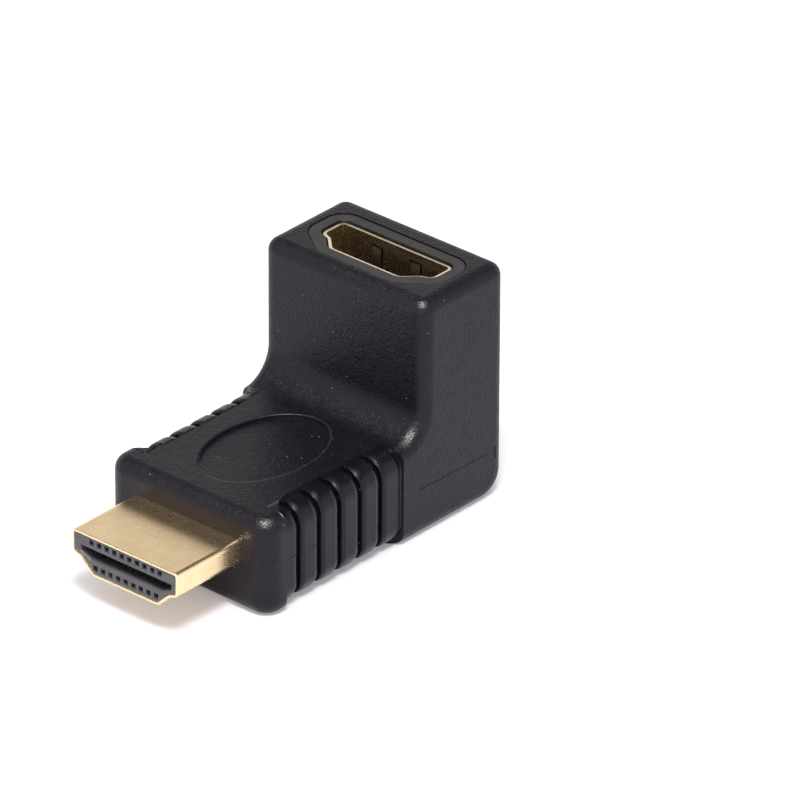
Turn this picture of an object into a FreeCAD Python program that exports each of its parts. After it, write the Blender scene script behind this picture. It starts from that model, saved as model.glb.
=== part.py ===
import FreeCAD, Part
import math
import os

os.makedirs("parts", exist_ok=True)

# Right angle video adapter. X runs across the body, +Y from the plug to the back, +Z up.
# The plug points to -Y from the lying arm and the socket opens upwards in the standing arm.
# The origin is at the bottom centre of the whole adapter. All sizes are in millimetres.

# Plug outline: a wide flat on top, straight sides, a sloping ledge and a narrow flat below
plug_width = 13.9
plug_height = 4.45
plug_side = 2.6
plug_flat = 8.7
plug_ledge = 1.05
plug_ledge_drop = 0.35
plug_top_radius = 0.45
plug_side_radius = 0.6
plug_ledge_radius = 1.0
plug_flat_radius = 0.7
plug_reach = 8.9
plug_sheet = 0.25
plug_edge_chamfer = 0.06
plug_rooting = 2.6

# Seam of the folded plug shell: a butt joint with one locking tongue, and two latch windows
seam_gap = 0.07
seam_tongue_width = 0.85
seam_tongue_flare = 0.25
seam_tongue_start = 1.9
seam_tongue_length = 1.5
window_size = 1.5
window_start = 3.9
latch_spacing = 5.1

# Plug insulator: a slot for the tongue of the mating socket, with a channel for each contact
face_recess = 0.1
slot_width = 11.9
slot_height = 1.2
slot_corner_width = 1.35
slot_corner_height = 0.6
slot_depth = 7.0
slot_lead = 0.12
channel_width = 0.56
channel_near = 1.05
channel_far = 1.65
channel_wall = 1.0

# Contacts: a long row on the wide side and a short row, half a pitch aside, on the narrow side
contact_pitch = 1.0
long_row_count = 10
short_row_count = 9
contact_width = 0.32
contact_sheet = 0.18
plug_contact_height = 1.42
plug_contact_bow = 0.5
plug_contact_tip = 0.85
plug_contact_crest = 2.1
plug_contact_bend = 4.2
plug_tail = 1.9

# Circuit board, in the middle plane of the plug
board_thickness = 1.0
board_gap = 0.5
board_side_cover = 0.9
board_end_cover = 0.7
solder_room = 0.15

# Socket: the plug outline with a running clearance, standing on the board
socket_clearance = 0.08
socket_sheet = 0.3
socket_depth = 10.0
socket_foot = 0.8
rim_drop = 0.25
leg_width = 1.5
leg_spacing = 2.0
pin_stickout = 0.5

# Tongue of the socket and the leaf springs of its shell
tongue_play = 0.1
tongue_drop = 2.2
tongue_chamfer = 0.15
tongue_contact_drop = 0.7
contact_proud = 0.05
spring_width = 1.15
spring_slit = 0.2
spring_top = 0.9
spring_length = 5.6
spring_bow = 0.3
spring_curl = 0.3
spring_pocket = 0.35

# Inner mould, which packs the board and the backs of the connectors
mould_wall = 1.5
mould_cover = 1.1
mould_drop = 0.08
mould_edge_chamfer = 0.15
mould_front_wall = 1.4
relief_width = 0.22
relief_depth = 0.9

# Outer jacket, with its own wall on each side of the inner mould
jacket_side = 1.82
jacket_top = 1.85
jacket_bottom = 2.25
jacket_front = 1.6
jacket_back = 2.5
arm_reach = 22.9
tower_rise = 15.05
upright_radius = 2.1
flank_radius = 1.5
foot_radius = 1.45
heel_radius = 2.85
rim_radius = 1.4
elbow_radius = 3.2

# Grips on both flanks: lands between grooves, in a shallow recess that wraps over the long edges
grip_start = 2.8
grip_end_margin = 2.9
groove_start = 4.9
groove_pitch = 3.0
groove_width = 0.55
groove_depth = 0.65
last_land = 1.5
grip_drop = 0.2
grip_round = 2.2
land_slope_length = 0.5
land_slope_depth = 0.15
grip_inset = 2.9
grip_corner = 3.2

# Bare oval panels above and below, and two small blind holes below
oval_width = 10.4
oval_length = 15.3
oval_depth = 0.3
pin_hole_diameter = 1.3
pin_hole_spacing = 10.0
pin_hole_depth = 1.2
pin_hole_behind_grip = 0.8

# How far a cutting body reaches past the surface that it opens
cut_past = 1.0

# Places that follow from the sizes above
socket_shell_outset = socket_clearance + socket_sheet
mould_half_width = plug_width / 2 + socket_shell_outset + mould_wall
mould_half_depth = plug_height / 2 + socket_shell_outset + mould_wall
mould_half_height = plug_height / 2 + mould_cover
body_width = 2 * (mould_half_width + jacket_side)
tower_depth = jacket_front + 2 * mould_half_depth + jacket_back
arm_thickness = jacket_bottom + 2 * mould_half_height + jacket_top
body_length = arm_reach + tower_depth
body_height = arm_thickness + tower_rise
tip_y = -(plug_reach + body_length) / 2
front_y = tip_y + plug_reach
tower_y = front_y + arm_reach
back_y = front_y + body_length
socket_y = tower_y + jacket_front + mould_half_depth
axis_z = jacket_bottom + mould_half_height
grip_y = front_y + grip_start
grip_end_y = tower_y - grip_end_margin
groove_room = grip_end_y - front_y - groove_start - last_land
groove_count = int(groove_room / groove_pitch) + 1
oval_y = (grip_y + grip_end_y) / 2
insulator_end_y = front_y + plug_rooting
board_front_y = insulator_end_y + board_gap
board_top_z = axis_z + board_thickness / 2
mould_top_z = body_height - mould_drop
rim_z = mould_top_z - rim_drop
socket_floor_z = rim_z - socket_depth
socket_shell_bottom_z = board_top_z + socket_foot


def place_xz(y):
    """Puts an outline upright across the part at one y."""
    return lambda u, v: FreeCAD.Vector(u, y, v)


def place_xy(z, centre_y=0.0):
    """Lays an outline flat at one height."""
    return lambda u, v: FreeCAD.Vector(u, centre_y + v, z)


def place_yz(x):
    """Puts an outline upright along the part at one x."""
    return lambda u, v: FreeCAD.Vector(x, u, v)


def inset_corners(corners, inset):
    """Moves every side of a counterclockwise outline inwards, or outwards where inset is negative."""
    moved = []
    for i, (u, v, radius) in enumerate(corners):
        before = corners[i - 1]
        after = corners[(i + 1) % len(corners)]
        first = math.atan2(v - before[1], u - before[0])
        second = math.atan2(after[1] - v, after[0] - u)
        turn = (second - first + math.pi) % (2 * math.pi) - math.pi
        middle = first + turn / 2 + math.pi / 2
        reach = inset / math.cos(turn / 2)
        new_radius = radius - inset if turn > 0 else radius + inset
        new_radius = max(new_radius, 0.0) if radius > 0 else 0.0
        moved.append((u + reach * math.cos(middle), v + reach * math.sin(middle), new_radius))
    return moved


def outline(corners, place, inset=0.0):
    """Makes a closed wire of straight sides that rounds each corner with its own radius."""
    corners = inset_corners(corners, inset)
    edges = []
    starts = []
    ends = []
    middles = []
    for i, (u, v, radius) in enumerate(corners):
        before = corners[i - 1]
        after = corners[(i + 1) % len(corners)]
        first = math.atan2(v - before[1], u - before[0])
        second = math.atan2(after[1] - v, after[0] - u)
        turn = (second - first + math.pi) % (2 * math.pi) - math.pi
        tangent = radius * math.tan(abs(turn) / 2)
        starts.append((u - tangent * math.cos(first), v - tangent * math.sin(first)))
        ends.append((u + tangent * math.cos(second), v + tangent * math.sin(second)))
        bisector = first + turn / 2 + math.copysign(math.pi / 2, turn)
        sagitta = radius / math.cos(turn / 2) - radius
        middles.append((u + sagitta * math.cos(bisector), v + sagitta * math.sin(bisector)))
    for i, corner in enumerate(corners):
        if corner[2] > 0:
            edges.append(Part.Arc(place(*starts[i]), place(*middles[i]), place(*ends[i])).toShape())
        following = (i + 1) % len(corners)
        edges.append(Part.LineSegment(place(*ends[i]), place(*starts[following])).toShape())
    return Part.Wire(edges)


def prism(wire, direction):
    """Extrudes the face inside a closed wire."""
    return Part.Face(wire).extrude(direction)


def box(low, high):
    """Makes a box between two opposite corners."""
    size = [b - a for a, b in zip(low, high)]
    return Part.makeBox(size[0], size[1], size[2], FreeCAD.Vector(*low))


def rectangle(half_width, low, high, radius):
    """Gives the corners of a rectangle with rounded corners."""
    return [(-half_width, high, radius), (-half_width, low, radius),
            (half_width, low, radius), (half_width, high, radius)]


def connector_corners(ledge=True):
    """Gives the corners of the plug outline about its axis, with or without its ledges."""
    half = plug_width / 2
    top = plug_height / 2
    side_end = top - plug_side
    left = [(-half, top, plug_top_radius), (-half, side_end, plug_side_radius)]
    if ledge:
        left.append((-half + plug_ledge, side_end - plug_ledge_drop, plug_ledge_radius))
    left.append((-plug_flat / 2, -top, plug_flat_radius))
    right = [(-u, v, radius) for u, v, radius in reversed(left)]
    return left + right


def plug_prism(inset, low_y, high_y):
    """Makes a solid of the plug outline between two places along the plug."""
    raised = [(u, v + axis_z, radius) for u, v, radius in connector_corners()]
    return prism(outline(raised, place_xz(low_y), inset), FreeCAD.Vector(0, high_y - low_y, 0))


def socket_prism(inset, low_z, high_z, ledge=True):
    """Makes a solid of the socket outline between two heights."""
    wire = outline(connector_corners(ledge), place_xy(low_z, socket_y), inset)
    return prism(wire, FreeCAD.Vector(0, 0, high_z - low_z))


def strip(path, thickness, width, x):
    """Makes a bent flat strip along a path of (y, z) points, centred on x."""
    one_side = []
    other_side = []
    for i, (y, z) in enumerate(path):
        before = path[max(i - 1, 0)]
        after = path[min(i + 1, len(path) - 1)]
        first = math.atan2(z - before[1], y - before[0])
        second = math.atan2(after[1] - z, after[0] - y)
        first = second if i == 0 else first
        second = first if i == len(path) - 1 else second
        normal = (first + second) / 2 + math.pi / 2
        reach = thickness / 2 / math.cos((second - first) / 2)
        one_side.append((y + reach * math.cos(normal), z + reach * math.sin(normal)))
        other_side.append((y - reach * math.cos(normal), z - reach * math.sin(normal)))
    points = [place_yz(x - width / 2)(y, z) for y, z in one_side + other_side[::-1]]
    return prism(Part.makePolygon(points + points[:1]), FreeCAD.Vector(width, 0, 0))


def row_places(count):
    """Gives the x of each contact of one row, centred on the part."""
    return [(i - (count - 1) / 2) * contact_pitch for i in range(count)]


def plug_contact(x, side):
    """Makes one leaf contact of the plug. Side is 1 in the upper row and -1 in the lower row."""
    tail_height = board_thickness / 2 + contact_sheet / 2
    path = [(tip_y + plug_contact_tip, plug_contact_height - spring_curl),
            (tip_y + plug_contact_crest, plug_contact_bow),
            (tip_y + plug_contact_bend, plug_contact_height),
            (insulator_end_y - contact_sheet, plug_contact_height),
            (board_front_y, tail_height),
            (board_front_y + plug_tail, tail_height)]
    return strip([(y, axis_z + side * z) for y, z in path], contact_sheet, contact_width, x)


def socket_contact(x, side):
    """Makes one straight contact of the socket, from its place on the tongue to its solder pin."""
    face_y = socket_y + side * (slot_height / 2 - tongue_play + contact_proud)
    inner_y = face_y - side * contact_sheet
    low = (x - contact_width / 2, min(face_y, inner_y), board_top_z - board_thickness - pin_stickout)
    high = (x + contact_width / 2, max(face_y, inner_y), rim_z - tongue_drop - tongue_contact_drop)
    return box(low, high)


def contact_set(maker):
    """Makes both rows of contacts, the long row first."""
    long_row = [(x, 1) for x in row_places(long_row_count)]
    short_row = [(x, -1) for x in row_places(short_row_count)]
    return [maker(x, side) for x, side in long_row + short_row]


def plug_seam():
    """Makes the narrow gap of the folded seam, with its flared locking tongue."""
    tongue_y = tip_y + seam_tongue_start
    tongue_end_y = tongue_y + seam_tongue_length
    path = [(0, tip_y - plug_sheet), (0, tongue_y),
            (-seam_tongue_width, tongue_y - seam_tongue_flare),
            (-seam_tongue_width, tongue_end_y + seam_tongue_flare),
            (0, tongue_end_y), (0, insulator_end_y + plug_sheet)]
    lines = [Part.LineSegment(FreeCAD.Vector(a[0], a[1], 0), FreeCAD.Vector(b[0], b[1], 0)).toShape()
             for a, b in zip(path, path[1:])]
    gap = Part.Wire(lines).makeOffset2D(seam_gap / 2, 2, False, True, True)
    gap = Part.Face(gap) if gap.ShapeType == "Wire" else gap
    gap.translate(FreeCAD.Vector(0, 0, axis_z - plug_height / 2 - plug_sheet))
    return gap.extrude(FreeCAD.Vector(0, 0, 2 * plug_sheet + plug_ledge_drop))


def plug_shell():
    """Makes the folded sheet shell of the plug."""
    shell = plug_prism(0, tip_y, insulator_end_y)
    front = [edge for edge in shell.Edges
             if all(abs(vertex.Y - tip_y) < 1e-6 for vertex in edge.Vertexes)]
    shell = shell.makeChamfer(plug_edge_chamfer, front)
    shell = shell.cut(plug_prism(plug_sheet, tip_y - cut_past, insulator_end_y + cut_past))
    window_y = tip_y + window_start
    bottom_z = axis_z - plug_height / 2
    for x in (-latch_spacing / 2, latch_spacing / 2):
        window = box((x - window_size / 2, window_y, bottom_z - plug_sheet),
                     (x + window_size / 2, window_y + window_size, bottom_z + 2 * plug_sheet))
        shell = shell.cut(window)
    return shell.cut(plug_seam())


def slot_corners(centre_v=0.0):
    """Gives the corners of the slot outline, with a slanting corner at each end of the narrow side."""
    half = slot_width / 2
    top = slot_height / 2
    left = [(-half, top), (-half, slot_corner_height - top), (slot_corner_width - half, -top)]
    right = [(-u, v) for u, v in reversed(left)]
    return [(u, v + centre_v, 0) for u, v in left + right]


def slot_cutter(face_y):
    """Makes the slot of the plug and the small bevel round its mouth."""
    corners = slot_corners(axis_z)
    mouth = outline(corners, place_xz(face_y), -slot_lead)
    neck = outline(corners, place_xz(face_y + slot_lead))
    bevel = Part.makeLoft([mouth, neck], True, True)
    return prism(outline(corners, place_xz(face_y)), FreeCAD.Vector(0, slot_depth, 0)).fuse(bevel)


def plug_insulator(contacts):
    """Makes the moulded insulator of the plug, with its slot and contact channels."""
    face_y = tip_y + face_recess
    body = plug_prism(plug_sheet, face_y, insulator_end_y)
    body = body.cut(slot_cutter(face_y))
    for count, side in ((long_row_count, 1), (short_row_count, -1)):
        for x in row_places(count):
            heights = (channel_near, channel_far, slot_height / 2)
            near, far, root = [axis_z + side * h for h in heights]
            left, right = x - channel_width / 2, x + channel_width / 2
            body = body.cut(box((left, face_y - cut_past, min(near, far)),
                                (right, face_y + slot_depth, max(near, far))))
            body = body.cut(box((left, face_y + channel_wall, min(root, far)),
                                (right, face_y + slot_depth, max(root, far))))
    for contact in contacts:
        body = body.cut(contact)
    return body


def circuit_board(contacts, legs):
    """Makes the board that joins the plug contacts to the socket pins."""
    half = mould_half_width - board_side_cover
    board_end_y = back_y - jacket_back - board_end_cover
    body = box((-half, board_front_y, board_top_z - board_thickness),
               (half, board_end_y, board_top_z))
    for item in contacts + legs:
        body = body.cut(item)
    return body


def leg_set():
    """Makes the four straight legs of the socket shell, which pass through the board."""
    inner = plug_width / 2 + socket_clearance
    side_middle = socket_y + (plug_height - plug_side) / 2
    low_z = board_top_z - board_thickness - pin_stickout
    legs = []
    for x in (-inner - socket_sheet, inner):
        for y in (side_middle - leg_spacing / 2, side_middle + leg_spacing / 2):
            legs.append(box((x, y - leg_width / 4, low_z),
                            (x + socket_sheet, y + leg_width / 4, socket_shell_bottom_z)))
    return legs


def wall_y(side):
    """Gives the middle of the sheet of the wide wall (1) or the narrow wall (-1)."""
    return socket_y + side * (plug_height / 2 + socket_clearance + socket_sheet / 2)


def leaf_spring(x, side):
    """Makes one leaf spring that bows into the socket and curls back at its free end."""
    root_z = rim_z - spring_top - spring_length
    free_z = rim_z - spring_top - spring_slit
    wall = wall_y(side)
    crest_z = free_z - spring_length / 4
    path = [(wall, root_z - socket_sheet), (wall, root_z),
            (wall - side * spring_bow, crest_z),
            (wall - side * spring_bow, crest_z + spring_curl),
            (wall - side * spring_curl / 2, free_z)]
    return strip(path, contact_sheet, spring_width, x)


def spring_places():
    """Gives x and the wall of each leaf spring."""
    return [(x, side) for side in (1, -1) for x in (-latch_spacing / 2, latch_spacing / 2)]


def spring_window(x, side, depth):
    """Makes the opening that a leaf spring is cut from, to a depth outside the sheet."""
    half = spring_width / 2 + spring_slit
    wall = wall_y(side)
    inner = wall - side * socket_sheet
    outer = wall + side * (socket_sheet / 2 + depth)
    return box((x - half, min(inner, outer), rim_z - spring_top - spring_length),
               (x + half, max(inner, outer), rim_z - spring_top))


def socket_shell(legs):
    """Makes the folded sheet shell of the socket with its leaf springs and legs."""
    shell = socket_prism(-socket_shell_outset, socket_shell_bottom_z, rim_z)
    bore = socket_prism(-socket_clearance, socket_shell_bottom_z - cut_past, rim_z + cut_past)
    shell = shell.cut(bore)
    for x, side in spring_places():
        shell = shell.cut(spring_window(x, side, cut_past))
        shell = shell.fuse(leaf_spring(x, side))
    for leg in legs:
        shell = shell.fuse(leg)
    return shell.removeSplitter()


def socket_housing(contacts):
    """Makes the insulator of the socket: a tall base on the board and the tongue on it."""
    base = socket_prism(-socket_clearance, board_top_z, socket_floor_z)
    foot = outline(slot_corners(), place_xy(board_top_z, socket_y), tongue_play)
    tongue = prism(foot, FreeCAD.Vector(0, 0, rim_z - tongue_drop - board_top_z))
    top_edges = [edge for edge in tongue.Edges
                 if all(abs(vertex.Z - rim_z + tongue_drop) < 1e-6 for vertex in edge.Vertexes)]
    tongue = tongue.makeChamfer(tongue_chamfer, top_edges)
    body = base.fuse(tongue).removeSplitter()
    for contact in contacts:
        body = body.cut(contact)
    return body


def mould_envelope():
    """Makes the outer form of the inner mould: a block round the board and a neck to the mouth."""
    block = box((-mould_half_width, front_y + mould_front_wall, jacket_bottom),
                (mould_half_width, back_y - jacket_back, arm_thickness - jacket_top))
    neck = socket_prism(-socket_shell_outset - mould_wall, axis_z, mould_top_z, False)
    rim = [edge for edge in neck.Edges
           if all(abs(vertex.Z - mould_top_z) < 1e-6 for vertex in edge.Vertexes)]
    return block.fuse(neck.makeChamfer(mould_edge_chamfer, rim)).removeSplitter()


def solder_rooms():
    """Makes the two hollows in the inner mould, round the plug tails and round the socket pins."""
    half_row = (long_row_count - 1) / 2 * contact_pitch + contact_width / 2 + solder_room
    half_tail = plug_contact_height + contact_sheet / 2 + solder_room
    half_pins = slot_height / 2 + solder_room
    pin_room_z = board_top_z - board_thickness - pin_stickout - solder_room
    tails = box((-half_row, insulator_end_y, axis_z - half_tail),
                (half_row, board_front_y + plug_tail + solder_room, axis_z + half_tail))
    pins = box((-half_row, socket_y - half_pins, pin_room_z),
               (half_row, socket_y + half_pins, board_top_z))
    return [tails, pins]


def inner_mould(board, legs):
    """Makes the inner mould round everything that it packs."""
    body = mould_envelope()
    body = body.cut(plug_prism(0, front_y, insulator_end_y))
    body = body.cut(socket_prism(-socket_shell_outset, socket_shell_bottom_z, body_height))
    body = body.cut(socket_prism(-socket_clearance, board_top_z, socket_shell_bottom_z))
    body = body.cut(socket_prism(-socket_shell_outset - relief_width, rim_z - relief_depth,
                                 body_height))
    for x, side in spring_places():
        body = body.cut(spring_window(x, side, spring_pocket))
    for item in solder_rooms() + legs + [board]:
        body = body.cut(item)
    return body


def edges_where(shape, test):
    """Lists the edges of a shape whose bounding box passes a test."""
    return [edge for edge in shape.Edges if test(edge.BoundBox)]


def jacket_block():
    """Makes the plain outer form of the jacket: an L with rounded edges."""
    near = 1e-6
    corners = [(front_y, arm_thickness, 0), (front_y, 0, 0), (back_y, 0, heel_radius),
               (back_y, body_height, 0), (tower_y, body_height, 0),
               (tower_y, arm_thickness, elbow_radius)]
    block = prism(outline(corners, place_yz(-body_width / 2)), FreeCAD.Vector(body_width, 0, 0))
    uprights = edges_where(block, lambda b: b.XLength < near and b.YLength < near
                           and b.YMin < front_y + near)
    block = block.makeFillet(upright_radius, uprights)
    nose = edges_where(block, lambda b: b.ZLength < near and b.YMax < front_y + near
                       and b.ZMin > arm_thickness - near)
    block = block.makeFillet(flank_radius, nose)
    foot = edges_where(block, lambda b: b.ZMax < near)
    block = block.makeFillet(foot_radius, foot)
    rim = edges_where(block, lambda b: b.ZMin > body_height - near)
    return block.makeFillet(rim_radius, rim)


def grip_bar(inset, low_y, high_y):
    """Makes a bar with the section of the lying arm, drawn in and more rounded than the arm."""
    corners = rectangle(body_width / 2, 0, arm_thickness, grip_round + inset)
    return prism(outline(corners, place_xz(low_y), inset), FreeCAD.Vector(0, high_y - low_y, 0))


def grip_former():
    """Makes the grooved bar that stays standing inside the recess of both grips."""
    near = 1e-6
    former = grip_bar(grip_drop + groove_depth, grip_y - cut_past, grip_end_y + cut_past)
    first_y = front_y + groove_start - groove_width / 2
    starts = [first_y + i * groove_pitch + groove_width for i in range(groove_count)]
    ends = [start - groove_width for start in starts]
    for low_y, high_y in zip([grip_y - cut_past] + starts, ends + [grip_end_y + cut_past]):
        land = grip_bar(grip_drop, low_y, high_y)
        rims = edges_where(land, lambda b: b.YLength < near and grip_y < b.YMin < grip_end_y)
        former = former.fuse(land.makeChamfer(land_slope_length, land_slope_depth, rims))
    return former


def grip_cutters():
    """Makes what is taken away for the grips: a recess on each flank, less its lands."""
    former = grip_former()
    inner = body_width / 2 - grip_inset
    outer = body_width / 2 + 2 * grip_corner
    cutters = []
    for side in (-1, 1):
        low_x, high_x = sorted((side * inner, side * outer))
        corners = [(low_x, grip_end_y, grip_corner), (low_x, grip_y, grip_corner),
                   (high_x, grip_y, grip_corner), (high_x, grip_end_y, grip_corner)]
        recess = prism(outline(corners, place_xy(-cut_past)),
                       FreeCAD.Vector(0, 0, arm_thickness + 2 * cut_past))
        cutters.append(recess.cut(former))
    return cutters


def oval(low_z, high_z):
    """Makes the oval solid of the bare panels."""
    ellipse = Part.Ellipse(FreeCAD.Vector(0, oval_y, low_z), oval_length / 2, oval_width / 2)
    edge = ellipse.toShape()
    edge.rotate(FreeCAD.Vector(0, oval_y, low_z), FreeCAD.Vector(0, 0, 1), 90)
    return prism(Part.Wire([edge]), FreeCAD.Vector(0, 0, high_z - low_z))


def pin_holes():
    """Makes the two small blind holes underneath."""
    y = grip_end_y + pin_hole_behind_grip
    return [Part.makeCylinder(pin_hole_diameter / 2, pin_hole_depth + cut_past,
                              FreeCAD.Vector(x, y, -cut_past))
            for x in (-pin_hole_spacing / 2, pin_hole_spacing / 2)]


def jacket():
    """Makes the outer jacket, moulded over the inner mould and the root of the plug."""
    body = jacket_block()
    for cutter in grip_cutters() + pin_holes():
        body = body.cut(cutter)
    body = body.cut(oval(arm_thickness - oval_depth, arm_thickness + cut_past))
    body = body.cut(oval(-cut_past, oval_depth))
    body = body.cut(mould_envelope())
    mouth = socket_prism(-socket_shell_outset - mould_wall, mould_top_z - cut_past,
                         body_height + cut_past, False)
    body = body.cut(mouth)
    return body.cut(plug_prism(0, front_y - cut_past, insulator_end_y))


def make_parts():
    """Makes every piece under its node name."""
    plug_contacts = contact_set(plug_contact)
    socket_contacts = contact_set(socket_contact)
    legs = leg_set()
    board = circuit_board(socket_contacts, legs)
    pieces = {
        "jacket": jacket(),
        "inner_mould": inner_mould(board, legs),
        "plug_shell": plug_shell(),
        "plug_insulator": plug_insulator(plug_contacts),
        "circuit_board": board,
        "socket_shell": socket_shell(legs),
        "socket_housing": socket_housing(socket_contacts),
    }
    for i, contact in enumerate(plug_contacts, 1):
        pieces[f"plug_contact_{i:02d}"] = contact
    for i, contact in enumerate(socket_contacts, 1):
        pieces[f"socket_contact_{i:02d}"] = contact
    return pieces


for node, shape in make_parts().items():
    if shape.ShapeType == "Compound" and len(shape.Solids) == 1:
        shape = shape.Solids[0]
    shape.exportStep(f"parts/{node}.step")
    print(node, len(shape.Solids), "solid", round(shape.Volume, 2), "mm3", shape.isValid())
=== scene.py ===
import math

import bmesh
import bpy
from bpy.props import FloatProperty, FloatVectorProperty, PointerProperty
from mathutils import Matrix, Vector


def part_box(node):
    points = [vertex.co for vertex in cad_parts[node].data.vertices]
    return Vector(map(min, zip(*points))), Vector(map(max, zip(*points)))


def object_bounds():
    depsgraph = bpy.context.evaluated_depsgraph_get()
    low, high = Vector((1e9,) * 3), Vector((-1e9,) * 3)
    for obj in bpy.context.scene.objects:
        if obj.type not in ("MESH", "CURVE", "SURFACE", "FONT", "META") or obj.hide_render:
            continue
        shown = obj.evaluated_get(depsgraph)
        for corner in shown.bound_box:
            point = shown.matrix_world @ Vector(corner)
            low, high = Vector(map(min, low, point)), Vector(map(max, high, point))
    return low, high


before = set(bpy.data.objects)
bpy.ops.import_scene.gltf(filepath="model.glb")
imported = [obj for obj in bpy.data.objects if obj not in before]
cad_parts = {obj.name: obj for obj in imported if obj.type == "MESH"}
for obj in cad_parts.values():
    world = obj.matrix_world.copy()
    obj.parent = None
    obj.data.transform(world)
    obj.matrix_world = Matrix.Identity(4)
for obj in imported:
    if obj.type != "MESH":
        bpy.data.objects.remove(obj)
cad_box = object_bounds()

# Finishes, moulding marks, light and camera for a right angle video adapter.
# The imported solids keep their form. Sizes are in metres, and patterns are set in millimetres.

bl_info = {
    "name": "Right Angle Adapter Finish",
    "version": (1, 0, 0),
    "blender": (4, 5, 0),
    "location": "View3D > Sidebar > Adapter",
    "description": "Finishes the packed adapter and sets its studio",
    "category": "Object",
}

MM = 0.001
JACKET_LOW, JACKET_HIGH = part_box("jacket")
SOCKET_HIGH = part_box("socket_shell")[1]

# Places on the jacket in millimetres, as the patterns read them. Grips and panels start from the front face.
FRONT = JACKET_LOW.y / MM
HALF_WIDTH = JACKET_HIGH.x / MM
GRIP_START = FRONT + 2.9
GRIP_END = FRONT + 19.9
GRIP_WRAP = 2.8
GROOVE_START = FRONT + 5.175
GROOVE_PITCH = 3.0
OVAL_MIDDLE = FRONT + 11.4
OVAL_WIDTH = 10.4
OVAL_LENGTH = 15.3
LINE_HEIGHT = 5.55
LINE_FALL = -0.016
LINE_STRETCHES = ((-10.2, -8.4, 0.1), (-6.6, -5.8, 0.1), (9.0, 19.3, 0.3))
NICK_Y = (20.62, 20.86)
NICK_Z = (4.3, 5.7)

# Heights of the patterns, in depths of the grain.
MARK_DEPTH = 1.8
LAND_RISE = 2.4
PANEL_DROP = 2.2

# Heights of the lines on the plate.
PLATE_RELIEF = 0.0003 * MM
INNER_RELIEF = 0.0001 * MM

# Studio. The sky's values are sines of the height above the horizon.
CAMERA_AIM = Vector((15.093, 1.147, 20.522)) * MM
LAMP_ELEVATION = math.radians(62)
LAMP_DISTANCE = 0.55
KEY_AZIMUTH, KEY_SIZE = math.radians(44), 0.14
GLOSS_AZIMUTH, GLOSS_SIZE = math.radians(32), 0.20
WHITE_BELOW, DIM_ABOVE, DIM_SKY = 0.44, 0.68, 0.04
FLOOR_SIZE = 3.0
FLOOR_GAP = 0.02 * MM

# How far the paper looks for the adapter, how much of the sky it sees there, and how much its glow lifts it.
# The glow fades near the adapter as a painted shadow.
SHADE_REACH = 12 * MM
SHADE_SEES, OPEN_SEES = 0.35, 0.95
SHADE_LIFT, OPEN_LIFT = 0.24, 0.50


class JacketLook(bpy.types.PropertyGroup):
    """Colours and grain of the moulded jacket."""

    colour: FloatVectorProperty(name="Colour", description="Body colour of the soft black plastic",
                                subtype="COLOR", size=3, min=0, max=1, default=(0.0058, 0.0040, 0.0080))
    grain: FloatProperty(name="Grain size", description="Mean width of one grain of the spark finish",
                         default=0.34 * MM, min=0.05 * MM, max=1 * MM, unit="LENGTH")
    depth: FloatProperty(name="Grain depth", description="Height of the grain",
                         default=0.062 * MM, min=0, max=0.2 * MM, unit="LENGTH")
    dust: FloatProperty(name="Dust", description="Share of the cells that hold a speck of dust",
                        default=0.05, min=0, max=1, subtype="FACTOR")
    dust_colour: FloatVectorProperty(name="Dust colour", description="Colour of the dust and lint",
                                     subtype="COLOR", size=3, min=0, max=1, default=(0.46, 0.45, 0.45))
    shine: FloatProperty(name="Roughness", description="Mean roughness of the grained faces",
                         default=0.41, min=0, max=1, subtype="FACTOR")


class PlateLook(bpy.types.PropertyGroup):
    """Colours and wear of the plated sheet."""

    colour: FloatVectorProperty(name="Colour", description="Colour of the pale gold plate",
                                subtype="COLOR", size=3, min=0, max=1, default=(1.0, 0.76, 0.46))
    worn: FloatVectorProperty(name="Worn colour", description="Colour where the plate is thin",
                              subtype="COLOR", size=3, min=0, max=1, default=(0.62, 0.42, 0.18))
    # The edge colour is the paler bare metal of the cut edge, with a painted highlight along it.
    edge: FloatVectorProperty(name="Edge colour", description="Colour of the pale cut edge of the sheet",
                              subtype="COLOR", size=3, min=0, max=1, default=(1.0, 0.87, 0.62))
    # This darkens the plate of every contact as painted shade in their slots.
    contact_painted_shade: FloatProperty(name="Contact shade", description="How bright the thin contact plate is",
                                 default=0.30, min=0, max=1, subtype="FACTOR")
    shine: FloatProperty(name="Roughness", description="Mean roughness of the plate",
                         default=0.27, min=0, max=1, subtype="FACTOR")


class StudioLook(bpy.types.PropertyGroup):
    """Places of the camera and strengths of the lamps."""

    azimuth: FloatProperty(name="Azimuth", description="Angle of the camera round the adapter",
                           default=math.radians(41.231), subtype="ANGLE")
    elevation: FloatProperty(name="Elevation", description="Angle of the camera above the floor",
                             default=math.radians(29.044), subtype="ANGLE")
    roll: FloatProperty(name="Roll", description="Turn of the camera about its own axis",
                        default=math.radians(0.257), subtype="ANGLE")
    distance: FloatProperty(name="Distance", description="Camera to the point that it looks at",
                            default=1.034, min=0.1, unit="LENGTH")
    lens: FloatProperty(name="Lens", description="Focal length in millimetres",
                        default=479.63, min=20, max=1000)
    key: FloatProperty(name="Key lamp", description="Power of the soft box above the front",
                       default=2.2, min=0, unit="POWER")
    gloss: FloatProperty(name="Gloss lamp", description="Power of the soft box that only gloss shows",
                         default=11.5, min=0, unit="POWER")
    room: FloatProperty(name="Room light", description="Strength of the even light from all round",
                        default=0.36, min=0)


PROPERTY_GROUPS = (JacketLook, PlateLook, StudioLook)


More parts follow.
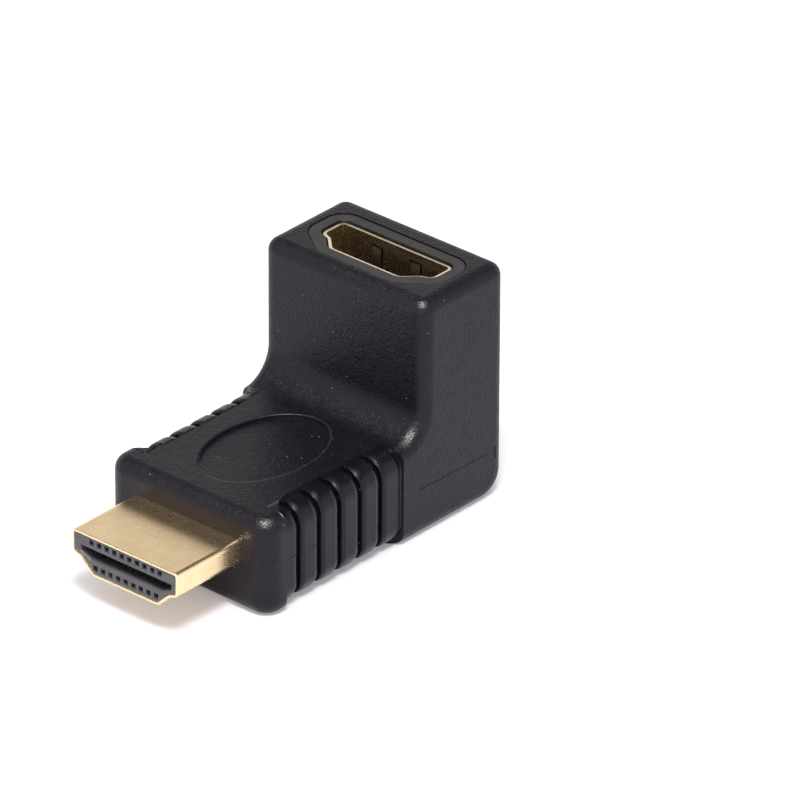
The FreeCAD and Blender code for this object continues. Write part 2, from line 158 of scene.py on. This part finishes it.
class Nodes:
    """Builds one node material step by step."""

    def __init__(self, name):
        self.material = bpy.data.materials.new(name)
        self.material.use_nodes = True
        self.tree = self.material.node_tree
        self.shader = self.tree.nodes["Principled BSDF"]
        coordinates = self.add("ShaderNodeTexCoord")
        scale = self.add("ShaderNodeMapping")
        scale.inputs["Scale"].default_value = (1 / MM,) * 3
        self.join(coordinates.outputs["Object"], scale.inputs["Vector"])
        self.place = scale.outputs["Vector"]

    def add(self, kind, **settings):
        """Adds a node and sets its plain settings."""
        node = self.tree.nodes.new(kind)
        for name, value in settings.items():
            setattr(node, name, value)
        return node

    def join(self, source, target):
        """Links a socket, or writes a plain value, into another socket."""
        if isinstance(source, bpy.types.NodeSocket):
            self.tree.links.new(source, target)
        else:
            target.default_value = source

    def maths(self, operation, first, second=0.0, third=0.0):
        """Works out one number."""
        node = self.add("ShaderNodeMath", operation=operation)
        for value, socket in zip((first, second, third), node.inputs):
            self.join(value, socket)
        return node.outputs[0]

    def noise(self, scale, detail=2.0, roughness=0.5, stretch=(1, 1, 1)):
        """Soft noise with about this many waves to the millimetre."""
        node = self.add("ShaderNodeTexNoise")
        self.join(self.stretched(stretch), node.inputs["Vector"])
        node.inputs["Scale"].default_value = scale
        node.inputs["Detail"].default_value = detail
        node.inputs["Roughness"].default_value = roughness
        return node.outputs["Fac"]

    def cells(self, scale):
        """Cells with about this many to the millimetre: distance from the middle, and a number for each."""
        node = self.add("ShaderNodeTexVoronoi")
        self.join(self.place, node.inputs["Vector"])
        node.inputs["Scale"].default_value = scale
        split = self.add("ShaderNodeSeparateColor")
        self.join(node.outputs["Color"], split.inputs["Color"])
        return node.outputs["Distance"], split.outputs["Red"]

    def stretched(self, stretch):
        """The place on the part in millimetres, scaled along each axis."""
        if tuple(stretch) == (1, 1, 1):
            return self.place
        node = self.add("ShaderNodeMapping")
        self.join(self.place, node.inputs["Vector"])
        node.inputs["Scale"].default_value = stretch
        return node.outputs["Vector"]

    def axes(self):
        """The place on the part as three numbers in millimetres."""
        node = self.add("ShaderNodeSeparateXYZ")
        self.join(self.place, node.inputs["Vector"])
        return node.outputs["X"], node.outputs["Y"], node.outputs["Z"]

    def ramp(self, value, low, high, start=0.0, end=1.0):
        """Maps a range of a number to another range, and holds its ends."""
        node = self.add("ShaderNodeMapRange", interpolation_type="SMOOTHSTEP")
        for source, socket in zip((value, low, high, start, end), node.inputs):
            self.join(source, socket)
        return node.outputs["Result"]

    def mix(self, share, first, second):
        """Mixes two colours."""
        node = self.add("ShaderNodeMix", data_type="RGBA")
        self.join(share, node.inputs[0])
        for value, socket in ((first, node.inputs[6]), (second, node.inputs[7])):
            value = (*value, 1.0) if isinstance(value, tuple) and len(value) == 3 else value
            self.join(value, socket)
        return node.outputs[2]

    def blend(self, share, first, second):
        """Mixes two numbers."""
        node = self.add("ShaderNodeMix", data_type="FLOAT")
        for value, socket in ((share, node.inputs[0]), (first, node.inputs[2]), (second, node.inputs[3])):
            self.join(value, socket)
        return node.outputs[0]

    def bump(self, height, depth):
        """Raises the surface by a height times a depth in metres."""
        node = self.add("ShaderNodeBump")
        node.inputs["Distance"].default_value = depth
        self.join(height, node.inputs["Height"])
        self.join(node.outputs["Normal"], self.shader.inputs["Normal"])

    def set(self, **values):
        """Writes or links sockets of the shader, named with underscores for spaces."""
        for name, value in values.items():
            value = (*value, 1.0) if isinstance(value, tuple) and len(value) == 3 else value
            self.join(value, self.shader.inputs[name.replace("_", " ").title().replace("Ior", "IOR")])


def finish_node(name, material):
    """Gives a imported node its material."""
    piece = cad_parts[name]
    piece.data.materials.clear()
    piece.data.materials.append(material)


def band(nodes, value, low, high, soft):
    """One inside a range of a number, and zero outside it, with soft ends."""
    rise = nodes.ramp(value, low - soft, low + soft)
    fall = nodes.ramp(value, high - soft, high + soft, 1.0, 0.0)
    return nodes.maths("MULTIPLY", rise, fall)


def specks(nodes, per_mm, radius, share):
    """Small round specks: one in the middle of a share of the cells."""
    distance, number = nodes.cells(per_mm)
    near = nodes.ramp(distance, radius * 0.6, radius, 1.0, 0.0)
    chosen = nodes.maths("GREATER_THAN", number, 1.0 - share)
    return nodes.maths("MULTIPLY", near, chosen)


def grip_zone(nodes, x, y):
    """One on the two grips and where they wrap over the long edges of the arm, else zero."""
    inner = HALF_WIDTH - GRIP_WRAP
    wrapped = nodes.ramp(nodes.maths("ABSOLUTE", x), inner, inner + 0.4)
    return nodes.maths("MULTIPLY", band(nodes, y, GRIP_START, GRIP_END, 0.1), wrapped)


def parting_marks_with_painted_shade(nodes, x, y, z):
    """The mould's parting line, where it shows on the flanks, and a nick where it meets the back. The jacket
    uses this mask for their groove and also for painted shade in them.
    """
    on_flank = nodes.ramp(nodes.maths("ABSOLUTE", x), HALF_WIDTH - 0.4, HALF_WIDTH - 0.2)
    line_z = nodes.maths("MULTIPLY_ADD", y, LINE_FALL, LINE_HEIGHT)
    away = nodes.maths("ABSOLUTE", nodes.maths("SUBTRACT", z, line_z))
    line = nodes.maths("MULTIPLY", nodes.ramp(away, 0.03, 0.09, 1.0, 0.0), on_flank)
    shown = 0.0
    for low, high, soft in LINE_STRETCHES:
        shown = nodes.maths("MAXIMUM", band(nodes, y, low, high, soft), shown)
    line = nodes.maths("MULTIPLY", line, shown)
    torn = nodes.maths("MULTIPLY_ADD", nodes.noise(2.5, detail=2), 0.5, y)
    nick = nodes.maths("MULTIPLY", band(nodes, torn, *NICK_Y, 0.06), band(nodes, z, *NICK_Z, 0.2))
    nick = nodes.maths("MULTIPLY", nick, nodes.maths("GREATER_THAN", x, HALF_WIDTH - 1.15))
    return nodes.maths("MAXIMUM", line, nick)


def rounded_lands(nodes, y, in_grip):
    """One on the lands between the grooves, with a round at both rims, else zero."""
    along = nodes.maths("DIVIDE", nodes.maths("SUBTRACT", y, GROOVE_START), GROOVE_PITCH)
    return nodes.maths("MULTIPLY", band(nodes, nodes.maths("FRACT", along), 0.035, 0.78, 0.035), in_grip)


def oval_panel(nodes, x, y):
    """One inside the oval panels, with a round just outside their rim, else zero."""
    across = nodes.maths("DIVIDE", x, OVAL_WIDTH / 2)
    along = nodes.maths("DIVIDE", nodes.maths("SUBTRACT", y, OVAL_MIDDLE), OVAL_LENGTH / 2)
    squares = nodes.maths("ADD", nodes.maths("POWER", across, 2), nodes.maths("POWER", along, 2))
    return nodes.ramp(nodes.maths("SQRT", squares), 1.0, 1.045, 1.0, 0.0)


def jacket_material(look):
    """Soft black plastic with a spark grain, smoother lands on the grips, dust, and a parting line and nick
    darkened with painted shade.
    """
    nodes = Nodes("grained_black_plastic")
    x, y, z = nodes.axes()
    in_grip = grip_zone(nodes, x, y)
    smooth = nodes.maths("MULTIPLY", in_grip, nodes.ramp(z, 10.6, 10.9, 1.0, 0.0))

    grain_per_mm = MM / look.grain
    coarse = nodes.noise(grain_per_mm, detail=2.5, roughness=0.6)
    pits = nodes.cells(grain_per_mm * 1.5)[0]
    grained = nodes.maths("MULTIPLY_ADD", pits, 0.35, coarse)
    streaks = nodes.noise(2.6, detail=3, stretch=(0.6, 1, 0.08))
    mark_and_painted_shade = parting_marks_with_painted_shade(nodes, x, y, z)
    height = nodes.blend(smooth, grained, nodes.maths("MULTIPLY", streaks, 0.25))
    height = nodes.maths("MULTIPLY_ADD", mark_and_painted_shade, -MARK_DEPTH, height)
    height = nodes.maths("MULTIPLY_ADD", rounded_lands(nodes, y, in_grip), LAND_RISE, height)
    height = nodes.maths("MULTIPLY_ADD", oval_panel(nodes, x, y), -PANEL_DROP, height)
    nodes.bump(height, look.depth)

    body = tuple(look.colour)
    cloud = nodes.ramp(nodes.noise(0.30, detail=4, roughness=0.6), 0.35, 0.75)
    sparkle = nodes.ramp(nodes.noise(grain_per_mm, detail=2, roughness=0.7), 0.45, 0.75)
    colour = nodes.mix(cloud, body, tuple(1.2 * c for c in body))
    colour = nodes.mix(nodes.maths("MULTIPLY", sparkle, 0.5), colour, tuple(2.2 * c for c in body))
    # The parting line and the nick are painted five times darker, as painted shade in their groove and dent.
    colour = nodes.mix(mark_and_painted_shade, colour, tuple(0.2 * c for c in body))
    fine_dust = specks(nodes, 1.9, 0.13, look.dust)
    dust = nodes.maths("MAXIMUM", specks(nodes, 0.8, 0.075, look.dust * 0.8), fine_dust)
    colour = nodes.mix(nodes.maths("MULTIPLY", dust, 0.75), colour, look.dust_colour[:])
    rough = nodes.ramp(nodes.noise(1.1, detail=3), 0.3, 0.7, look.shine - 0.03, look.shine + 0.04)
    rough = nodes.blend(smooth, rough, nodes.ramp(streaks, 0.3, 0.7, 0.26, 0.36))
    rough = nodes.blend(mark_and_painted_shade, nodes.blend(dust, rough, 0.9), 0.8)
    nodes.set(base_color=colour, roughness=rough, specular_ior_level=0.26)
    return nodes.material


def inner_mould_material():
    """Firmer plastic of the inner mould, with a faint brown cast and a fine grain."""
    nodes = Nodes("inner_black_plastic")
    grain = nodes.noise(7, detail=3, roughness=0.6)
    nodes.bump(grain, 0.006 * MM)
    tint = nodes.ramp(nodes.noise(0.5, detail=3), 0.35, 0.7)
    rough = nodes.ramp(grain, 0.3, 0.7, 0.36, 0.46)
    nodes.set(base_color=nodes.mix(tint, (0.018, 0.015, 0.016), (0.030, 0.024, 0.024)), roughness=rough,
              specular_ior_level=0.42)
    return nodes.material


def plate_material(look, name, brushed, relief=PLATE_RELIEF, shade=1.0, rim=None):
    """Satin gold plate with rolling lines, wear spots and haze, made darker by shade as painted shade, and a
    pale cut edge with a painted highlight if a rim is given.
    """
    nodes = Nodes(name)
    lines = nodes.noise(9, detail=3, roughness=0.6, stretch=brushed)
    haze = nodes.noise(0.55, detail=4, roughness=0.6)
    spots, number = nodes.cells(2.2)
    worn = nodes.maths("MULTIPLY", nodes.ramp(spots, 0.10, 0.22, 1.0, 0.0),
                       nodes.maths("GREATER_THAN", number, 0.82))
    # Shade darkens the plate and its worn colour as painted shade.
    plate = tuple(shade * c for c in look.colour)
    thin = tuple(shade * c for c in look.worn)
    colour = nodes.mix(nodes.ramp(haze, 0.35, 0.75, 0.0, 0.20), plate, thin)
    colour = nodes.mix(nodes.maths("MULTIPLY", worn, 0.3), colour, thin)
    rough = nodes.ramp(lines, 0.25, 0.75, look.shine - 0.03, look.shine + 0.04)
    nodes.bump(lines, relief)
    if rim is not None:
        # The band just under the rim is paler, from the cut edge's bare metal and a painted highlight.
        cut_edge_and_highlight = nodes.ramp(nodes.axes()[2], rim - 0.06, rim - 0.02)
        colour = nodes.mix(cut_edge_and_highlight, colour, tuple(look.edge))
        rough = nodes.blend(cut_edge_and_highlight, rough, 0.32)
    nodes.set(base_color=colour, metallic=1.0, roughness=nodes.blend(worn, rough, look.shine + 0.06))
    return nodes.material


def insulator_material():
    """Charcoal connector plastic with a fine moulded surface."""
    nodes = Nodes("charcoal_insulator")
    grain = nodes.noise(9, detail=2, roughness=0.6)
    nodes.bump(grain, 0.004 * MM)
    shade = nodes.ramp(nodes.noise(0.8, detail=3), 0.3, 0.7)
    nodes.set(base_color=nodes.mix(shade, (0.095, 0.093, 0.101), (0.125, 0.122, 0.131)),
              roughness=nodes.ramp(grain, 0.3, 0.7, 0.42, 0.55))
    return nodes.material


def housing_material():
    """Black connector plastic of the socket."""
    nodes = Nodes("black_housing")
    grain = nodes.noise(8, detail=2, roughness=0.6)
    nodes.bump(grain, 0.004 * MM)
    shade = nodes.ramp(nodes.noise(0.8, detail=3), 0.3, 0.7)
    nodes.set(base_color=nodes.mix(shade, (0.012, 0.011, 0.011), (0.022, 0.020, 0.019)),
              roughness=nodes.ramp(grain, 0.3, 0.7, 0.40, 0.52))
    return nodes.material


def board_material():
    """Green solder mask over faint copper tracks and a glass weave."""
    nodes = Nodes("green_board")
    track = nodes.maths("GREATER_THAN", nodes.maths("FRACT", nodes.axes()[0]), 0.55)
    weave = nodes.noise(3, detail=2, stretch=(1, 0.2, 1))
    nodes.bump(nodes.maths("MULTIPLY_ADD", track, 0.7, nodes.maths("MULTIPLY", weave, 0.3)), 0.02 * MM)
    colour = nodes.mix(track, (0.006, 0.060, 0.022), (0.014, 0.095, 0.034))
    nodes.set(base_color=colour, roughness=nodes.ramp(weave, 0.3, 0.7, 0.30, 0.42))
    return nodes.material


def direction(azimuth, elevation):
    """The way to a camera or lamp. Azimuth 0 is the front, and 90 degrees the right flank."""
    flat = math.cos(elevation)
    return Vector((math.sin(azimuth) * flat, -math.cos(azimuth) * flat, math.sin(elevation)))


def make_area_lamp(name, azimuth, size, power, target):
    """Hangs a soft square lamp above a point and turns it to that point."""
    data = bpy.data.lights.new(name, "AREA")
    data.shape = "SQUARE"
    data.size = size
    data.energy = power
    lamp = bpy.data.objects.new(name, data)
    bpy.context.scene.collection.objects.link(lamp)
    away = direction(azimuth, LAMP_ELEVATION)
    lamp.location = target + away * LAMP_DISTANCE
    lamp.rotation_mode = "QUATERNION"
    lamp.rotation_quaternion = away.to_track_quat("Z", "Y")
    lamp.visible_camera = False
    return lamp


def share_of_seen_rays(tree):
    """One for the rays of the camera and for those that metal and glass send on, else zero."""
    path = tree.nodes.new("ShaderNodeLightPath")
    share = path.outputs["Is Camera Ray"]
    for name in ("Is Glossy Ray", "Is Transmission Ray"):
        larger = tree.nodes.new("ShaderNodeMath")
        larger.operation = "MAXIMUM"
        tree.links.new(share, larger.inputs[0])
        tree.links.new(path.outputs[name], larger.inputs[1])
        share = larger.outputs[0]
    return share


def make_world(room):
    """Even room light, with a background that is white near the floor and dim overhead."""
    world = bpy.data.worlds.new("studio")
    bpy.context.scene.world = world
    world.use_nodes = True
    tree = world.node_tree
    background = tree.nodes["Background"]
    way = tree.nodes.new("ShaderNodeTexCoord")
    split = tree.nodes.new("ShaderNodeSeparateXYZ")
    tree.links.new(way.outputs["Generated"], split.inputs["Vector"])
    height = tree.nodes.new("ShaderNodeMapRange")
    height.interpolation_type = "SMOOTHSTEP"
    tree.links.new(split.outputs["Z"], height.inputs["Value"])
    ends = (("From Min", WHITE_BELOW), ("From Max", DIM_ABOVE), ("To Min", 1.0), ("To Max", DIM_SKY))
    for name, value in ends:
        height.inputs[name].default_value = value
    strength = tree.nodes.new("ShaderNodeMix")
    tree.links.new(share_of_seen_rays(tree), strength.inputs[0])
    strength.inputs[2].default_value = room
    tree.links.new(height.outputs["Result"], strength.inputs[3])
    background.inputs["Color"].default_value = (1, 1, 1, 1)
    tree.links.new(strength.outputs[0], background.inputs["Strength"])


def floor_material():
    """White paper that glows white in the picture and keeps the shadow of the adapter. The shadow is deepened
    by a painted shadow where the glow fades near the adapter.
    """
    material = bpy.data.materials.new("white_paper")
    material.use_nodes = True
    tree = material.node_tree
    shader = tree.nodes["Principled BSDF"]
    shader.inputs["Base Color"].default_value = (0.80, 0.79, 0.85, 1)
    shader.inputs["Roughness"].default_value = 0.9
    open_sky = tree.nodes.new("ShaderNodeAmbientOcclusion")
    open_sky.samples = 8
    open_sky.inputs["Distance"].default_value = SHADE_REACH
    shade = tree.nodes.new("ShaderNodeMapRange")
    tree.links.new(open_sky.outputs["AO"], shade.inputs["Value"])
    ends = (("From Min", SHADE_SEES), ("From Max", OPEN_SEES), ("To Min", SHADE_LIFT), ("To Max", OPEN_LIFT))
    for name, value in ends:
        shade.inputs[name].default_value = value
    # The glow is smaller where the paper sees less sky near the adapter, which paints a shadow.
    lift = tree.nodes.new("ShaderNodeMath")
    lift.operation = "MULTIPLY"
    tree.links.new(share_of_seen_rays(tree), lift.inputs[0])
    tree.links.new(shade.outputs["Result"], lift.inputs[1])
    shader.inputs["Emission Color"].default_value = (1, 1, 1, 1)
    tree.links.new(lift.outputs[0], shader.inputs["Emission Strength"])
    return material


class ADAPTER_OT_finish_jacket(bpy.types.Operator):
    """Give the outer jacket its grained plastic"""

    bl_idname = "adapter.finish_jacket"
    bl_label = "Finish Jacket"

    def execute(self, context):
        finish_node("jacket", jacket_material(context.scene.adapter_jacket))
        return {"FINISHED"}


class ADAPTER_OT_finish_inner_mould(bpy.types.Operator):
    """Give the inner mould its firmer plastic"""

    bl_idname = "adapter.finish_inner_mould"
    bl_label = "Finish Inner Mould"

    def execute(self, context):
        finish_node("inner_mould", inner_mould_material())
        return {"FINISHED"}


class ADAPTER_OT_finish_shells(bpy.types.Operator):
    """Plate the folded shells of the plug and the socket"""

    bl_idname = "adapter.finish_shells"
    bl_label = "Plate Shells"

    def execute(self, context):
        look = context.scene.adapter_plate
        finish_node("plug_shell", plate_material(look, "plug_gold_plate", (0.12, 1, 1)))
        # The socket's plate is painted at half brightness as painted shade inside the socket's mouth, and its
        # rim is left pale.
        inside = plate_material(look, "socket_gold_plate", (0.5, 0.5, 0.3), relief=INNER_RELIEF, shade=0.50,
                                rim=SOCKET_HIGH.z / MM)
        finish_node("socket_shell", inside)
        return {"FINISHED"}


class ADAPTER_OT_finish_insulators(bpy.types.Operator):
    """Give the plug insulator and the socket housing their plastics"""

    bl_idname = "adapter.finish_insulators"
    bl_label = "Finish Insulators"

    def execute(self, context):
        finish_node("plug_insulator", insulator_material())
        finish_node("socket_housing", housing_material())
        return {"FINISHED"}


class ADAPTER_OT_finish_contacts(bpy.types.Operator):
    """Plate every contact of the plug and the socket"""

    bl_idname = "adapter.finish_contacts"
    bl_label = "Plate Contacts"

    def execute(self, context):
        look = context.scene.adapter_plate
        # Every contact's plate is darkened as painted shade in their slots.
        plate = plate_material(look, "contact_gold_plate", (1, 0.3, 0.3), shade=look.contact_painted_shade)
        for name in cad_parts:
            if "_contact_" in name:
                finish_node(name, plate)
        return {"FINISHED"}


class ADAPTER_OT_finish_board(bpy.types.Operator):
    """Give the circuit board its solder mask"""

    bl_idname = "adapter.finish_board"
    bl_label = "Finish Board"

    def execute(self, context):
        finish_node("circuit_board", board_material())
        return {"FINISHED"}


class ADAPTER_OT_build_stage(bpy.types.Operator):
    """Lay the floor, hang the lamps and place the camera"""

    bl_idname = "adapter.build_stage"
    bl_label = "Build Stage"

    def execute(self, context):
        look = context.scene.adapter_studio
        low, high = cad_box
        centre = (low + high) / 2
        mesh = bpy.data.meshes.new("floor")
        grid = bmesh.new()
        under = Matrix.Translation((0, 0, low.z - FLOOR_GAP))
        bmesh.ops.create_grid(grid, x_segments=1, y_segments=1, size=FLOOR_SIZE, matrix=under)
        grid.to_mesh(mesh)
        grid.free()
        mesh.materials.append(floor_material())
        floor = bpy.data.objects.new("floor", mesh)
        context.scene.collection.objects.link(floor)
        make_world(look.room)
        key = make_area_lamp("key_lamp", KEY_AZIMUTH, KEY_SIZE, look.key, centre)
        key.visible_glossy = False
        gloss = make_area_lamp("gloss_lamp", GLOSS_AZIMUTH, GLOSS_SIZE, look.gloss, centre)
        gloss.visible_diffuse = False
        self.place_camera(context, look)
        context.scene.view_settings.view_transform = "Standard"
        return {"FINISHED"}

    def place_camera(self, context, look):
        """Puts the camera where the photograph was taken from."""
        data = bpy.data.cameras.new("camera")
        data.sensor_width = 36
        data.lens = look.lens
        data.clip_start = 0.05
        camera = bpy.data.objects.new("camera", data)
        context.scene.collection.objects.link(camera)
        away = direction(look.azimuth, look.elevation)
        turn = away.to_track_quat("Z", "Y").to_matrix() @ Matrix.Rotation(look.roll, 3, "Z")
        camera.matrix_world = Matrix.Translation(CAMERA_AIM + away * look.distance) @ turn.to_4x4()
        context.scene.camera = camera


class ADAPTER_PT_panel(bpy.types.Panel):
    """Lists the steps that finish the adapter"""

    bl_idname = "ADAPTER_PT_panel"
    bl_label = "Adapter"
    bl_space_type = "VIEW_3D"
    bl_region_type = "UI"
    bl_category = "Adapter"

    def draw(self, context):
        for operator in OPERATORS:
            self.layout.operator(operator.bl_idname)
        for look in (context.scene.adapter_jacket, context.scene.adapter_plate, context.scene.adapter_studio):
            box = self.layout.box()
            for name in look.bl_rna.properties.keys():
                if name not in ("rna_type", "name"):
                    box.prop(look, name)


OPERATORS = (ADAPTER_OT_finish_jacket, ADAPTER_OT_finish_inner_mould, ADAPTER_OT_finish_shells,
             ADAPTER_OT_finish_insulators, ADAPTER_OT_finish_contacts, ADAPTER_OT_finish_board,
             ADAPTER_OT_build_stage)


def register():
    """Registers the classes and the settings."""
    for item in (*PROPERTY_GROUPS, *OPERATORS, ADAPTER_PT_panel):
        bpy.utils.register_class(item)
    bpy.types.Scene.adapter_jacket = PointerProperty(type=JacketLook)
    bpy.types.Scene.adapter_plate = PointerProperty(type=PlateLook)
    bpy.types.Scene.adapter_studio = PointerProperty(type=StudioLook)


def unregister():
    """Removes the settings and the classes."""
    del bpy.types.Scene.adapter_jacket
    del bpy.types.Scene.adapter_plate
    del bpy.types.Scene.adapter_studio
    for item in reversed((*PROPERTY_GROUPS, *OPERATORS, ADAPTER_PT_panel)):
        bpy.utils.unregister_class(item)


def main():
    """Runs every step in order."""
    register()
    for operator in OPERATORS:
        group, step = operator.bl_idname.split(".")
        getattr(getattr(bpy.ops, group), step)()


if __name__ == "__main__":
    main()
